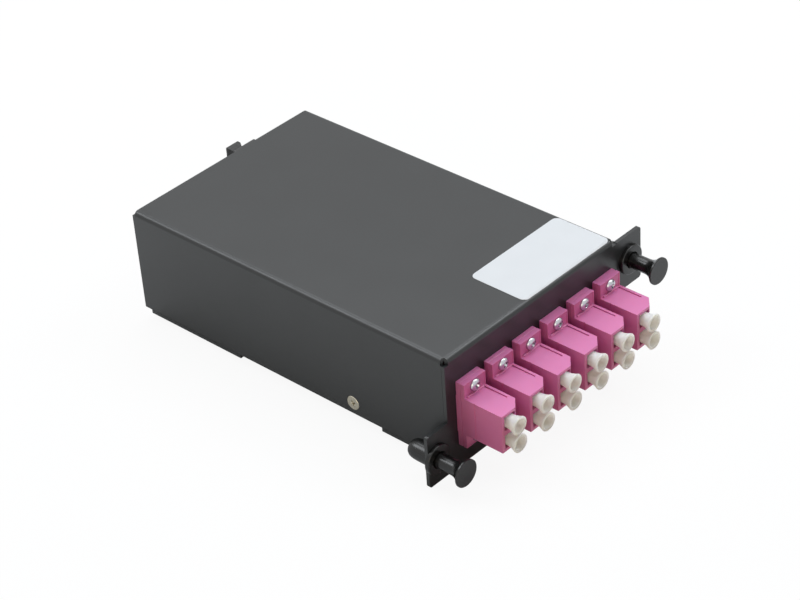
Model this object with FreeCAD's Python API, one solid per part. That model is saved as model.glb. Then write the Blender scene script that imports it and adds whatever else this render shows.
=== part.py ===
import FreeCAD, Part
import math
import os
from FreeCAD import Vector

# Fibre cassette for a rack panel: a folded steel box with six LC duplex adapters in its front
# panel, two push-pull latches in its ears, and one MPO adapter in its back wall.
# Millimetres. X is across the front panel, +Y runs from the panel to the back, +Z is up.
# The origin is the middle of the base cover's underside.

# Steel box
housing_width = 77.3
housing_depth = 127.4
housing_height = 37.3
cover_sheet = 1.2
base_sheet = 1.2
bend_inside = 0.5
fold_gap = 0.2
panel_gap = 0.08
seam = 0.1
corner_hole_radius = 1.2
corner_hole_inset = 0.5
corner_hole_height = 2.2
side_wall_overhang = 0.9
side_wall_step = 1.5
panel_drop = 2.55
ear_corner = 1.0
left_ear_reach = 8.9
left_ear_height = 18.1
right_ear_reach = 12.2
right_ear_height = 18.15
right_ear_below_top = 1.95
base_bend_inside = 0.6
base_tab_height = 12.0
base_tab_start = 26.5
base_tab_length = 59.0
base_rear_step = 2.0

# Side screws, countersunk
side_screw_from_front = 37.8
side_screw_height = 5.1
side_screw_radius = 1.45
side_screw_length = 5.0
side_screw_head_radius = 2.35
side_screw_head_depth = 1.0
countersink_gap = 0.1

# LC duplex adapters, stood upright in the panel
adapter_count = 6
first_adapter_inset = 8.825
last_adapter_inset = 6.725
adapter_row_height = 16.65
lc_body_width = 9.3
lc_body_height = 12.9
lc_flange_height = 22.5
lc_flange_half = 1.6
lc_front_length = 13.6
lc_rear_length = 13.0
lc_port_pitch = 6.25
lc_port_size = 4.7
lc_port_depth = 9.4
lc_port_shift = 1.15
lc_key_width = 2.2
lc_key_wall = 0.9
lc_corner_cut_across = 3.3
lc_corner_cut_back = 2.8
lc_groove_width = 0.6
lc_groove_depth = 0.4
lc_groove_inset = 0.9
lc_groove_length = 8.8
lc_side_groove_width = 0.3
lc_side_groove_depth = 0.2
lc_side_groove_place = 3.8
lc_tab_border = 0.35
lc_tab_recess = 0.2
cutout_gap = 0.15

# Adapter screws, pan head
adapter_screw_spacing = 17.8
adapter_screw_radius = 0.95
adapter_screw_head_radius = 1.95
adapter_screw_head_height = 1.2
adapter_screw_grip = 2.0
screw_hole_gap = 0.15
cross_length = 2.0
cross_width = 0.5
cross_depth = 0.7

# LC alignment sleeves and ferrules
ferrule_radius = 0.62
sleeve_wall = 0.15
sleeve_length = 10.6
sleeve_gap = 0.04

# LC dust caps, trumpet shaped
cap_stem_radius = 2.15
cap_stem_length = 8.6
cap_neck_length = 1.2
cap_rim_radius = 2.95
cap_rim_thickness = 0.5
cap_reach = 3.7
cap_dish_radius = 2.2
cap_dish_floor_radius = 1.5
cap_dish_depth = 3.0

# LC plugs in the rear ports
plug_gap = 0.15
plug_length = 16.0
plug_latch_width = 2.0
plug_latch_root = 0.6
plug_latch_rise = 1.5
plug_latch_start = 1.0
plug_latch_length = 9.0
plug_latch_step = 1.0
plug_boot_length = 8.0
plug_boot_size = 3.4
plug_boot_tip_size = 1.8

# Fibre leads and fan-out block
lead_size = 0.8
lead_stagger = 2.4
fanout_length = 14.0
fanout_column_pitch = 2.2
fanout_row_pitch = 2.2
fanout_margin = 1.3
fanout_neck = 1.0
ribbon_height = 4.6
ribbon_thickness = 2.0
ribbon_length = 7.0
ribbon_edge_round = 0.9

# Push-pull latches
latch_flange_radius = 4.9
latch_flange_thickness = 1.3
latch_seat_radius = 3.4
latch_shank_radius = 3.2
latch_shank_length = 4.0
latch_tip_radius = 2.5
latch_tip_length = 3.8
latch_slot = 0.6
latch_slot_angle = 45.0
latch_hole_gap = 0.1
left_latch_inset = 3.4
left_latch_rise = 9.05
right_latch_inset = 5.7
right_latch_rise = 9.45
plunger_radius = 2.4
plunger_pin_radius = 1.7
plunger_gap = 0.15
plunger_travel = 4.0
plunger_stop_gap = 0.3
plunger_neck_length = 6.2
plunger_knob_radius = 4.4
plunger_knob_rim = 0.7
plunger_flare = 3.2
plunger_flare_middle = 2.98
plunger_flare_lip = 0.95
plunger_inside_length = 6.0
plunger_point = 1.5
plunger_tip_radius = 0.8

# Sticker on the top
label_width = 39.8
label_depth = 20.8
label_thickness = 0.15
label_corner = 2.0
label_right_inset = 1.75
label_front_inset = 1.7

# MPO adapter in the back wall, stood upright
mpo_right_inset = 15.5
mpo_height = 19.15
mpo_body_width = 9.6
mpo_body_height = 12.9
mpo_flange_height = 22.4
mpo_flange_thickness = 3.0
mpo_rear_length = 12.4
mpo_inner_length = 13.0
mpo_port_width = 6.8
mpo_port_height = 10.0
mpo_key_width = 3.0
mpo_key_depth = 0.8
mpo_screw_spacing = 18.0
mpo_edge_round = 0.5

# MPO dust cap
mpo_cap_stem_length = 7.0
mpo_cap_stem_gap = 0.25
mpo_cap_neck_width = 4.0
mpo_cap_neck_height = 7.0
mpo_cap_rim_width = 5.6
mpo_cap_rim_height = 8.7
mpo_cap_rim_thickness = 1.3
mpo_cap_reach = 6.2
mpo_cap_flare = 1.5

# MPO plug on the ribbon cable
mpo_plug_gap = 0.2
mpo_sleeve_width = 7.8
mpo_sleeve_height = 12.4
mpo_sleeve_length = 10.0
mpo_sleeve_round = 1.0
mpo_ferrule_width = 2.5
mpo_ferrule_height = 6.4
mpo_ferrule_length = 8.0
mpo_boot_length = 6.0
mpo_boot_width = 5.4
mpo_boot_height = 8.0
mpo_boot_tip_width = 3.0
mpo_boot_tip_height = 5.6

# Places that follow from the sizes
overcut = 1.0
tolerance = 0.01
half_width = housing_width / 2
front = -housing_depth / 2
back = housing_depth / 2
top = housing_height
cover_bottom = base_sheet + seam
bend_outside = bend_inside + cover_sheet
panel_back = front + cover_sheet
inner_half_width = half_width - cover_sheet
ceiling = top - cover_sheet
lc_seam = front - lc_flange_half
lc_flange_front = front - 2 * lc_flange_half
lc_face = lc_flange_front - lc_front_length
lc_rear_face = front + lc_rear_length
lc_back_of_port = lc_rear_face - lc_port_depth
lc_middle = (lc_face + lc_port_depth + lc_back_of_port) / 2
plug_nose = lc_back_of_port + plug_gap
boot_start = plug_nose + plug_length
boot_end = boot_start + plug_boot_length
port_heights = [adapter_row_height + side * lc_port_pitch / 2 for side in (1, -1)]
screw_heights = [adapter_row_height + side * adapter_screw_spacing / 2 for side in (1, -1)]
adapter_pitch = ((housing_width - first_adapter_inset - last_adapter_inset)
                 / (adapter_count - 1))
adapter_places = [first_adapter_inset - half_width + adapter_pitch * number
                  for number in range(adapter_count)]
left_latch_x = -half_width - left_ear_reach + left_latch_inset
right_latch_x = half_width + right_ear_reach - right_latch_inset
left_latch_height = -panel_drop + left_latch_rise
right_ear_foot = top - right_ear_below_top - right_ear_height
right_latch_height = right_ear_foot + right_latch_rise
latch_shank_end = panel_back + latch_shank_length
wall_back = back - base_sheet
mpo_x = half_width - mpo_right_inset
mpo_inner_face = wall_back - mpo_inner_length
mpo_outer_face = back + mpo_flange_thickness + mpo_rear_length
mpo_middle = (mpo_inner_face + back + mpo_flange_thickness) / 2
mpo_screw_heights = [mpo_height + side * mpo_screw_spacing / 2 for side in (1, -1)]
mpo_sleeve_end = mpo_inner_face - mpo_plug_gap
mpo_boot_end = mpo_sleeve_end - mpo_sleeve_length
mpo_boot_tip = mpo_boot_end - mpo_boot_length
fanout_back = mpo_boot_tip - ribbon_length
fanout_front = fanout_back - fanout_length
sleeve_radius = ferrule_radius + 0.5 * sleeve_gap + sleeve_wall
sleeve_bore_radius = sleeve_radius + sleeve_gap


def box(x0, x1, y0, y1, z0, z1):
    """A block between two corners."""
    return Part.makeBox(x1 - x0, y1 - y0, z1 - z0, Vector(x0, y0, z0))


def block(x, z, width, height, y0, y1, rounding=0.0):
    """A block along Y, centred on a line, with its four long edges rounded."""
    shape = box(x - width / 2, x + width / 2, y0, y1, z - height / 2, z + height / 2)
    return round_edges(shape, rounding, lambda edge: edge.BoundBox.YLength > (y1 - y0) / 2)


def rod(radius, x, z, y0, y1):
    """A cylinder along Y."""
    return Part.makeCylinder(radius, y1 - y0, Vector(x, y0, z), Vector(0, 1, 0))


def round_edges(shape, radius, chosen):
    """Fillet the edges that the test picks."""
    edges = [edge for edge in shape.Edges if chosen(edge)]
    return shape.makeFillet(radius, edges) if radius > 0 and edges else shape


def turned(x, z, outline):
    """A solid turned about a line along Y, from an outline of (radius, y) points."""
    points = [Vector(x + radius, y, z) for radius, y in outline]
    face = Part.Face(Part.makePolygon(points + [points[0]]))
    return face.revolve(Vector(x, 0, z), Vector(0, 1, 0), 360)


def tapered(x, z, first, last):
    """A solid with flat sides between two rectangles (width, height, y) across Y."""
    rings = [[Vector(x + i * width / 2, y, z + k * height / 2)
              for i, k in ((-1, -1), (1, -1), (1, 1), (-1, 1))]
             for width, height, y in (first, last)]
    near, far = rings
    sides = [(near[n], near[n - 1], far[n - 1], far[n]) for n in range(4)]
    faces = [Part.Face(Part.makePolygon(list(ring) + [ring[0]])) for ring in [near, far] + sides]
    return Part.makeSolid(Part.makeShell(faces))


def cross_recess(x, z, y0, y1):
    """The cross cut into a screw head that faces along Y."""
    return block(x, z, cross_length, cross_width, y0, y1).fuse(
        block(x, z, cross_width, cross_length, y0, y1))


def cover_block(inset, bend, y1):
    """The top cover's outside form, or its inside when inset by the sheet."""
    side = half_width - inset
    lid = top - inset
    across = box(-side, side, front + inset, y1, cover_bottom, lid)
    across = round_edges(across, bend, lambda edge: edge.BoundBox.YLength > housing_depth / 2
                         and edge.BoundBox.ZMin > lid - tolerance)
    along = box(-side, side, front + inset, y1, cover_bottom, lid)
    along = round_edges(along, bend, lambda edge: edge.BoundBox.XLength > side
                        and edge.BoundBox.ZMin > lid - tolerance
                        and edge.BoundBox.YMax < front + inset + tolerance)
    return across.common(along)


def ear(x_root, x_end, z0, z1):
    """One ear of the front panel, with two rounded corners at its outer edge."""
    plate = box(min(x_root, x_end), max(x_root, x_end), front, panel_back, z0, z1)
    return round_edges(plate, ear_corner, lambda edge: edge.BoundBox.YLength > cover_sheet / 2
                       and abs(edge.BoundBox.XMin - x_end) < tolerance)


def top_cover():
    """The folded cover: top, side walls, and a front panel with two ears at half height."""
    cover = cover_block(0, bend_outside, back).cut(
        cover_block(cover_sheet, bend_inside, back + overcut))
    panel = box(-half_width, half_width, front, panel_back, -panel_drop, top / 2)
    cover = cover.fuse([
        panel,
        ear(-half_width + overcut, -half_width - left_ear_reach, -panel_drop,
            -panel_drop + left_ear_height),
        ear(half_width - overcut, half_width + right_ear_reach, right_ear_foot,
            top - right_ear_below_top)])
    for side in (-1, 1):
        inside = side * inner_half_width
        outside = side * half_width
        low, high = min(inside, outside), max(inside, outside)
        cover = cover.fuse(box(low, high, back - overcut, back + side_wall_overhang,
                               cover_bottom, top - side_wall_step))
        cover = cover.cut(box(low - overcut, high + overcut, panel_back, panel_back + panel_gap,
                              cover_bottom - overcut, top - bend_outside))
        hole_foot = Vector(side * (half_width - corner_hole_inset), front + corner_hole_inset,
                           top - corner_hole_height)
        cover = cover.cut(Part.makeCylinder(corner_hole_radius, corner_hole_height + overcut,
                                            hole_foot))
        cover = cover.cut(side_countersink(side))
    for x in adapter_places:
        cover = cover.cut(block(x, adapter_row_height, lc_body_width + 2 * cutout_gap,
                                lc_body_height + 2 * cutout_gap, front - overcut,
                                panel_back + overcut))
        for z in screw_heights:
            cover = cover.cut(rod(adapter_screw_radius + screw_hole_gap / 2, x, z,
                                  front - overcut, panel_back + overcut))
    for x, z in ((left_latch_x, left_latch_height), (right_latch_x, right_latch_height)):
        cover = cover.cut(rod(latch_seat_radius + latch_hole_gap, x, z, front - overcut,
                              panel_back + overcut))
    return cover.removeSplitter()


def side_countersink(side):
    """The cone sunk in a side wall for its screw head, and the hole for the shank."""
    y = front + side_screw_from_front
    mouth = Vector(side * half_width, y, side_screw_height)
    inward = Vector(-side, 0, 0)
    cone = Part.makeCone(side_screw_head_radius + countersink_gap,
                         side_screw_radius + countersink_gap,
                         side_screw_head_depth, mouth, inward)
    hole = Part.makeCylinder(side_screw_radius + countersink_gap, 2 * cover_sheet, mouth, inward)
    return cone.fuse(hole)


def cover_screws():
    """Countersunk screws through the side walls into the tabs of the base cover."""
    screws = []
    for side in (-1, 1):
        face = Vector(side * half_width, front + side_screw_from_front, side_screw_height)
        inward = Vector(-side, 0, 0)
        head = Part.makeCone(side_screw_head_radius, side_screw_radius, side_screw_head_depth,
                             face, inward)
        shank = Part.makeCylinder(side_screw_radius, side_screw_length, face, inward)
        cross = [Part.makeBox(cross_depth, length, width,
                              Vector(min(face.x, face.x - side * cross_depth),
                                     face.y - length / 2, face.z - width / 2))
                 for length, width in ((cross_length, cross_width), (cross_width, cross_length))]
        screws.append(head.fuse(shank).cut(cross[0].fuse(cross[1])))
    return screws


def base_cover():
    """The folded base: floor, two tabs inside the side walls, and the back wall."""
    tab_front = front + base_tab_start
    tab_back = tab_front + base_tab_length
    side = inner_half_width - fold_gap
    bend = base_bend_inside + base_sheet
    floor_front = panel_back + fold_gap
    channel = box(-side, side, tab_front, tab_back, 0, base_tab_height)
    channel = round_edges(channel, bend, lambda edge: edge.BoundBox.YLength > base_tab_length / 2
                          and edge.BoundBox.ZMax < tolerance)
    hollow = box(-side + base_sheet, side - base_sheet, tab_front - overcut,
                 tab_back + overcut, base_sheet, base_tab_height + overcut)
    hollow = round_edges(hollow, base_bend_inside,
                         lambda edge: edge.BoundBox.YLength > base_tab_length / 2
                         and edge.BoundBox.ZMax < base_sheet + tolerance)
    tray = box(-side, side, back - base_tab_start, back, 0, ceiling - fold_gap)
    tray = round_edges(tray, bend, lambda edge: edge.BoundBox.XLength > side
                       and edge.BoundBox.ZMax < tolerance and edge.BoundBox.YMin > back - tolerance)
    tray_hollow = box(-side - overcut, side + overcut, back - base_tab_start - overcut,
                      wall_back, base_sheet, top)
    tray_hollow = round_edges(tray_hollow, base_bend_inside,
                              lambda edge: edge.BoundBox.XLength > side
                              and edge.BoundBox.ZMax < base_sheet + tolerance
                              and edge.BoundBox.YMin > wall_back - tolerance)
    base = channel.cut(hollow).fuse([
        box(-half_width, half_width, floor_front, tab_front, 0, base_sheet),
        box(-half_width, half_width, tab_back, back - base_rear_step, 0, base_sheet),
        tray.cut(tray_hollow)])
    opening = block(mpo_x, mpo_height, mpo_body_width + 2 * cutout_gap,
                    mpo_body_height + 2 * cutout_gap, wall_back - overcut, back + overcut)
    base = base.cut(opening)
    for z in mpo_screw_heights:
        base = base.cut(rod(adapter_screw_radius + screw_hole_gap / 2, mpo_x, z,
                            wall_back - overcut, back + overcut))
    for sign in (-1, 1):
        mouth = Vector(sign * half_width, front + side_screw_from_front, side_screw_height)
        base = base.cut(Part.makeCylinder(side_screw_radius + screw_hole_gap / 2,
                                          side_screw_length, mouth, Vector(-sign, 0, 0)))
    return base.removeSplitter()


def lc_ports(x, mouth, floor):
    """The two plug openings of an adapter half, each with the keyway of the plug's latch."""
    y0, y1 = min(mouth, floor), max(mouth, floor)
    axis = x - lc_port_shift
    key_end = x + lc_body_width / 2 - lc_key_wall
    cuts = []
    for z in port_heights:
        cuts.append(block(axis, z, lc_port_size, lc_port_size, y0, y1))
        cuts.append(box(axis, key_end, y0, y1, z - lc_key_width / 2, z + lc_key_width / 2))
    return cuts


def sleeve_bores(x, y0, y1):
    """The bores that hold the alignment sleeves."""
    return [rod(sleeve_bore_radius, x - lc_port_shift, z, y0, y1) for z in port_heights]


def flange_holes(x, y0, y1):
    return [rod(adapter_screw_radius + screw_hole_gap, x, z, y0, y1) for z in screw_heights]


def lc_adapter_front(x):
    """The half that stands in front of the panel: flange, body with its latch-side corner cut
    back, surface grooves, a tab face sunk above and below, and two ports."""
    z = adapter_row_height
    right = x + lc_body_width / 2
    left = x - lc_body_width / 2
    body = block(x, z, lc_body_width, lc_body_height, lc_face, lc_flange_front)
    half = body.fuse(block(x, z, lc_body_width, lc_flange_height, lc_flange_front, lc_seam))
    corner = Part.makePolygon([Vector(right - lc_corner_cut_across, lc_face, 0),
                               Vector(right, lc_face + lc_corner_cut_back, 0),
                               Vector(right + overcut, lc_face - overcut, 0),
                               Vector(right - lc_corner_cut_across, lc_face, 0)])
    cuts = [Part.Face(corner).extrude(Vector(0, 0, top)).translated(
        Vector(0, 0, z - top / 2))]
    cuts += lc_ports(x, lc_face - overcut, lc_face + lc_port_depth)
    cuts += sleeve_bores(x, lc_face + lc_port_depth / 2, lc_seam + overcut)
    cuts += flange_holes(x, lc_flange_front - overcut, lc_seam + overcut)
    groove_front = lc_flange_front - lc_side_groove_place
    cuts.append(box(left - overcut, left + lc_side_groove_depth, groove_front,
                    groove_front + lc_side_groove_width, 0, top))
    for side in (1, -1):
        skin = z + side * lc_body_height / 2
        groove_edge = right - lc_groove_inset
        cuts.append(box(groove_edge - lc_groove_width, groove_edge,
                        lc_flange_front - lc_groove_length, lc_flange_front,
                        skin - lc_groove_depth, skin + lc_groove_depth))
        tab_end = z + side * (lc_flange_height / 2 - lc_tab_border)
        tab_root = skin + side * lc_tab_border
        cuts.append(box(left + lc_tab_border, right - lc_tab_border,
                        lc_flange_front - overcut, lc_flange_front + lc_tab_recess,
                        min(tab_end, tab_root), max(tab_end, tab_root)))
    return half.cut(cuts)


def lc_adapter_rear(x):
    """The half that goes through the panel, with the ports for the inner plugs."""
    z = adapter_row_height
    flange = block(x, z, lc_body_width, lc_flange_height, lc_seam, front)
    half = flange.fuse(block(x, z, lc_body_width, lc_body_height, front, lc_rear_face))
    cuts = lc_ports(x, lc_rear_face + overcut, lc_back_of_port)
    cuts += sleeve_bores(x, lc_seam - overcut, lc_rear_face - lc_port_depth / 2)
    cuts += flange_holes(x, lc_seam - overcut, front + overcut)
    return half.cut(cuts)


def pan_screw(x, z, seat, direction, flange):
    """A pan-head screw with a cross recess. Its head stands out of the seat, and its shank
    runs the other way, along direction on Y, through the flange and into what is behind."""
    tip = seat + direction * (flange + adapter_screw_grip)
    crown = seat - direction * adapter_screw_head_height
    edge = adapter_screw_head_radius
    screw = turned(x, z, [(0, tip), (adapter_screw_radius, tip), (adapter_screw_radius, seat),
                          (edge, seat), (edge, crown), (0, crown)])
    floor = crown + direction * cross_depth
    beyond = crown - direction * overcut
    return screw.cut(cross_recess(x, z, min(floor, beyond), max(floor, beyond)))


def adapter_screws():
    return [pan_screw(x, z, lc_flange_front + lc_tab_recess, 1, 2 * lc_flange_half)
            for x in adapter_places for z in screw_heights]


def alignment_sleeves():
    """The ceramic sleeves, centred on the weld line of the adapter halves."""
    y0, y1 = lc_middle - sleeve_length / 2, lc_middle + sleeve_length / 2
    sleeves = []
    for x in adapter_places:
        for z in port_heights:
            axis = x - lc_port_shift
            sleeves.append(rod(sleeve_radius, axis, z, y0, y1).cut(
                rod(sleeve_radius - sleeve_wall, axis, z, y0 - overcut, y1 + overcut)))
    return sleeves


def lc_dust_cap(x, z):
    """A hollow trumpet: a round stem in the port, a narrow neck, and a flared dished rim."""
    axis = x - lc_port_shift
    rim = lc_face - cap_reach
    rim_back = rim + cap_rim_thickness
    return turned(axis, z, [
        (0, lc_face + cap_stem_length), (cap_stem_radius, lc_face + cap_stem_length),
        (cap_stem_radius, lc_face - cap_neck_length), (cap_rim_radius, rim_back),
        (cap_rim_radius, rim), (cap_dish_radius, rim),
        (cap_dish_floor_radius, rim + cap_dish_depth), (0, rim + cap_dish_depth)])


def lc_plug(x, z):
    """An LC plug: a square housing with the arm of its latch in the keyway."""
    axis = x - lc_port_shift
    size = lc_port_size - 2 * plug_gap
    side = axis + size / 2
    housing = block(axis, z, size, size, plug_nose, boot_start)
    root = plug_nose + plug_latch_start
    catch = root + plug_latch_length
    points = [(side, root), (side + plug_latch_root, root), (side + plug_latch_rise, catch),
              (side, catch + plug_latch_step)]
    outline = [Vector(px, py, z - plug_latch_width / 2) for px, py in points]
    arm = Part.Face(Part.makePolygon(outline + [outline[0]])).extrude(
        Vector(0, 0, plug_latch_width))
    return housing.fuse(arm)


def lc_plugs():
    return [lc_plug(x, z) for x in adapter_places for z in port_heights]


def lc_ferrules():
    """Ceramic ferrules, from the nose of each plug to the middle of the sleeve."""
    return [rod(ferrule_radius, x - lc_port_shift, z, lc_middle, plug_nose)
            for x in adapter_places for z in port_heights]


def lc_boots():
    """Square rubber boots that taper behind the plugs."""
    return [tapered(x - lc_port_shift, z,
                    (plug_boot_size, plug_boot_size, boot_start),
                    (plug_boot_tip_size, plug_boot_tip_size, boot_end))
            for x in adapter_places for z in port_heights]


def fanout_block():
    """The moulded block where the ribbon cable splits into single leads, one row of two for
    each adapter."""
    width = fanout_column_pitch + 2 * fanout_margin
    height = fanout_row_pitch * (adapter_count - 1) + 2 * fanout_margin
    shoulder = fanout_front + fanout_length / 2
    body = block(mpo_x, mpo_height, width, height, fanout_front, shoulder)
    return body.fuse(tapered(mpo_x, mpo_height, (width, height, shoulder),
                             (ribbon_thickness + fanout_neck, ribbon_height + fanout_neck,
                              fanout_back)))


def lead(start, end, straight_before, straight_after):
    """One buffered fibre, of square section. Between its straight ends it has two arcs in one
    plane, as large as the way from the boot to the block allows."""
    along = Vector(0, 1, 0)
    leave = start + along * straight_before
    arrive = end - along * straight_after
    aside = Vector(end.x - start.x, 0, end.z - start.z)
    offset = aside.Length
    length = arrive.y - leave.y
    aside.normalize()
    radius = (offset ** 2 + length ** 2) / (4 * offset)
    half_turn = math.atan(offset / length)
    bow = along * (radius * math.sin(half_turn)) + aside * (radius * (1 - math.cos(half_turn)))
    middle = (leave + arrive) / 2
    edges = [Part.Arc(leave, leave + bow, middle).toShape(),
             Part.Arc(middle, arrive - bow, arrive).toShape()]
    if straight_before:
        edges.insert(0, Part.makeLine(start, leave))
    if straight_after:
        edges.append(Part.makeLine(arrive, end))
    across = aside * (lead_size / 2)
    up = along.cross(aside) * (lead_size / 2)
    corners = [start + across + up, start - across + up, start - across - up,
               start + across - up]
    section = Part.makePolygon(corners + [corners[0]])
    return Part.Wire(edges).makePipeShell([section], True, False)


def fibre_leads():
    """The upper leads bend first and the lower ones after them, so that none cross."""
    leads = []
    for number, x in enumerate(adapter_places):
        row = mpo_height + fanout_row_pitch * ((adapter_count - 1) / 2 - number)
        for z, side in zip(port_heights, (1, -1)):
            start = Vector(x - lc_port_shift, boot_end, z)
            far_side = side if start.x < mpo_x else -side
            end = Vector(mpo_x + far_side * fanout_column_pitch / 2,
                         fanout_front, row)
            upper = side > 0
            leads.append(lead(start, end, 0 if upper else lead_stagger,
                              lead_stagger if upper else 0))
    return leads


def ribbon_cable():
    return block(mpo_x, mpo_height, ribbon_thickness, ribbon_height, fanout_back,
                 mpo_boot_tip, ribbon_edge_round)


def latch_grommet(x, z):
    """The split grommet of a push-pull latch: a flange in front of the ear, and a barrel
    behind it that one slot on the slant cuts into two legs."""
    flange_front = front - latch_flange_thickness
    bore = plunger_radius + plunger_gap
    pin_bore = plunger_pin_radius + plunger_gap
    tip = latch_shank_end + latch_tip_length
    grommet = turned(x, z, [
        (bore, flange_front), (latch_flange_radius, flange_front), (latch_flange_radius, front),
        (latch_seat_radius, front), (latch_seat_radius, panel_back),
        (latch_shank_radius, panel_back), (latch_shank_radius, latch_shank_end),
        (latch_tip_radius, tip), (pin_bore, tip), (pin_bore, latch_shank_end),
        (bore, latch_shank_end)])
    slot = block(x, z, 2 * latch_flange_radius, latch_slot, panel_back + latch_slot,
                 tip + overcut)
    slot.rotate(Vector(x, 0, z), Vector(0, -1, 0), latch_slot_angle)
    return grommet.cut(slot)


def latch_plunger(x, z):
    """The plunger, pulled out: a stem that stops on the shoulder in the grommet, a thin pin
    beyond it, and a knob that flares to a flat disc."""
    flare_start = front - latch_flange_thickness - plunger_neck_length
    rim_back = flare_start - plunger_flare
    face = rim_back - plunger_knob_rim
    stem_end = latch_shank_end - plunger_travel - plunger_stop_gap
    tip = front + plunger_inside_length
    edge = plunger_knob_radius
    return turned(x, z, [
        (0, face), (edge, face), (edge, rim_back),
        (plunger_flare_middle, rim_back + plunger_flare_lip), (plunger_radius, flare_start),
        (plunger_radius, stem_end), (plunger_pin_radius, stem_end),
        (plunger_pin_radius, tip - plunger_point), (plunger_tip_radius, tip), (0, tip)])


def label():
    """The sticker, flat on the top near the front right corner."""
    x1 = half_width - label_right_inset
    y0 = front + label_front_inset
    sheet = box(x1 - label_width, x1, y0, y0 + label_depth, top, top + label_thickness)
    return round_edges(sheet, label_corner, lambda edge: edge.BoundBox.ZLength > tolerance)


def mpo_adapter():
    """A one-piece MPO adapter, upright, with a keyed port right through it."""
    z = mpo_height
    body = block(mpo_x, z, mpo_body_width, mpo_body_height, mpo_inner_face, mpo_outer_face,
                 mpo_edge_round)
    flange = block(mpo_x, z, mpo_body_width, mpo_flange_height, back,
                   back + mpo_flange_thickness, mpo_edge_round)
    y0, y1 = mpo_inner_face - overcut, mpo_outer_face + overcut
    port = block(mpo_x, z, mpo_port_width, mpo_port_height, y0, y1)
    key = box(mpo_x, mpo_x + mpo_port_width / 2 + mpo_key_depth, y0, y1,
              z - mpo_key_width / 2, z + mpo_key_width / 2)
    holes = [rod(adapter_screw_radius + screw_hole_gap, mpo_x, height, back - overcut,
                 back + mpo_flange_thickness + overcut) for height in mpo_screw_heights]
    return body.fuse(flange).cut([port, key] + holes)


def mpo_adapter_screws():
    return [pan_screw(mpo_x, z, back + mpo_flange_thickness, -1, mpo_flange_thickness)
            for z in mpo_screw_heights]


def mpo_dust_cap():
    """The rubber cap of the MPO adapter: a stem in the port, a neck, and a flared rim."""
    y1 = mpo_outer_face + mpo_cap_reach
    width = mpo_port_width - 2 * mpo_cap_stem_gap
    height = mpo_port_height - 2 * mpo_cap_stem_gap
    rim_back = y1 - mpo_cap_rim_thickness
    stem = block(mpo_x, mpo_height, width, height, mpo_outer_face - mpo_cap_stem_length,
                 mpo_outer_face, mpo_edge_round)
    neck = block(mpo_x, mpo_height, mpo_cap_neck_width, mpo_cap_neck_height, mpo_outer_face,
                 rim_back - mpo_cap_flare)
    flare = tapered(mpo_x, mpo_height,
                    (mpo_cap_neck_width, mpo_cap_neck_height, rim_back - mpo_cap_flare),
                    (mpo_cap_rim_width, mpo_cap_rim_height, rim_back))
    rim = block(mpo_x, mpo_height, mpo_cap_rim_width, mpo_cap_rim_height, rim_back, y1)
    return stem.fuse([neck, flare, rim]).removeSplitter()


def mpo_plug_housing():
    """The plug's inner housing in the adapter, with the ferrule's pocket in its nose."""
    width = mpo_port_width - 2 * mpo_plug_gap
    height = mpo_port_height - 2 * mpo_plug_gap
    housing = block(mpo_x, mpo_height, width, height,
                    mpo_boot_end, mpo_middle)
    pocket = block(mpo_x, mpo_height, mpo_ferrule_width, mpo_ferrule_height,
                   mpo_middle - mpo_ferrule_length, mpo_middle + overcut)
    return housing.cut(pocket)


def mpo_ferrule():
    return block(mpo_x, mpo_height, mpo_ferrule_width, mpo_ferrule_height,
                 mpo_middle - mpo_ferrule_length, mpo_middle + mpo_plug_gap)


def mpo_coupling_sleeve():
    """The sliding sleeve round the plug's housing, outside the adapter."""
    sleeve = block(mpo_x, mpo_height, mpo_sleeve_width, mpo_sleeve_height, mpo_boot_end,
                   mpo_sleeve_end, mpo_sleeve_round)
    return sleeve.cut(block(mpo_x, mpo_height, mpo_port_width - 2 * mpo_plug_gap,
                            mpo_port_height - 2 * mpo_plug_gap, mpo_boot_end - overcut,
                            mpo_sleeve_end + overcut))


def mpo_boot():
    """The plug's rubber boot, which tapers to the ribbon."""
    return tapered(mpo_x, mpo_height, (mpo_boot_tip_width, mpo_boot_tip_height, mpo_boot_tip),
                   (mpo_boot_width, mpo_boot_height, mpo_boot_end))


nodes = {
    "top_cover": [top_cover()],
    "base_cover": [base_cover()],
    "cover_screws": cover_screws(),
    "adapter_screws": adapter_screws(),
    "lc_alignment_sleeves": alignment_sleeves(),
    "lc_plugs": lc_plugs(),
    "lc_ferrules": lc_ferrules(),
    "lc_boots": lc_boots(),
    "fibre_leads": fibre_leads(),
    "fanout_block": [fanout_block()],
    "ribbon_cable": [ribbon_cable()],
    "left_latch_grommet": [latch_grommet(left_latch_x, left_latch_height)],
    "right_latch_grommet": [latch_grommet(right_latch_x, right_latch_height)],
    "left_latch_plunger": [latch_plunger(left_latch_x, left_latch_height)],
    "right_latch_plunger": [latch_plunger(right_latch_x, right_latch_height)],
    "label": [label()],
    "mpo_adapter": [mpo_adapter()],
    "mpo_adapter_screws": mpo_adapter_screws(),
    "mpo_dust_cap": [mpo_dust_cap()],
    "mpo_plug_housing": [mpo_plug_housing()],
    "mpo_ferrule": [mpo_ferrule()],
    "mpo_coupling_sleeve": [mpo_coupling_sleeve()],
    "mpo_boot": [mpo_boot()],
}
for number, x in enumerate(adapter_places, 1):
    nodes[f"lc_adapter_front_{number}"] = [lc_adapter_front(x)]
    nodes[f"lc_adapter_rear_{number}"] = [lc_adapter_rear(x)]
    for place, z in zip(("upper", "lower"), port_heights):
        nodes[f"lc_dust_cap_{number}_{place}"] = [lc_dust_cap(x, z)]

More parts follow.
